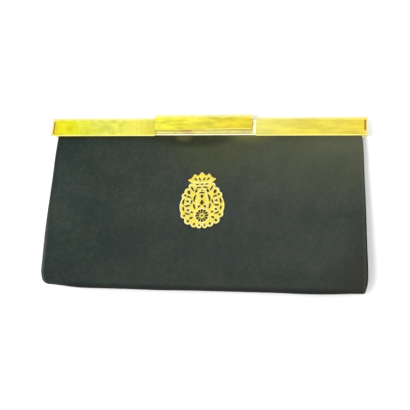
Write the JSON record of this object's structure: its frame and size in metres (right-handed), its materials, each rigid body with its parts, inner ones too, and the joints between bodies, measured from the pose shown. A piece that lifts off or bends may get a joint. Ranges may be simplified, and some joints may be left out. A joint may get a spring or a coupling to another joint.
{
  "type": "evening clutch",
  "caption": "Flat suede evening clutch with a straight metal frame, a lift-up clasp plate in the middle and a pierced ornament on the front.",
  "frame": {"origin": "under the middle of the clutch, on the surface that its back panel rests on", "axes": "+X to the right across the front, +Y from the bottom fold to the frame, +Z out of the front panel"},
  "size_m": [0.2548, 0.1378, 0.025],
  "materials": {
    "suede": "black suede with a short brushed nap",
    "brushed_gilt": "gilt sheet brushed lengthwise",
    "polished_gilt": "polished gilt",
    "cast_gilt": "cast and gilt, rubbed bright on the raised work"
  },
  "bodies": {
    "clutch": {"body_cover": "suede", "gusset_left": "suede", "gusset_right": "suede", "frame_front": "polished_gilt", "frame_back": "polished_gilt", "hinge_rivet_left": "polished_gilt", "hinge_rivet_right": "polished_gilt", "bar_left": "brushed_gilt", "bar_right": "brushed_gilt", "clasp_pin": "polished_gilt", "crest": "cast_gilt"},
    "clasp": {"clasp_plate": "brushed_gilt"}
  },
  "joints": [
    {"name": "clasp_lift", "type": "hinge", "parent": "clutch", "child": "clasp", "pos_m": [-0.00105, 0.06725, 0.0018], "axis": [-1, 0, 0], "range_deg": [0, 75]}
  ]
}
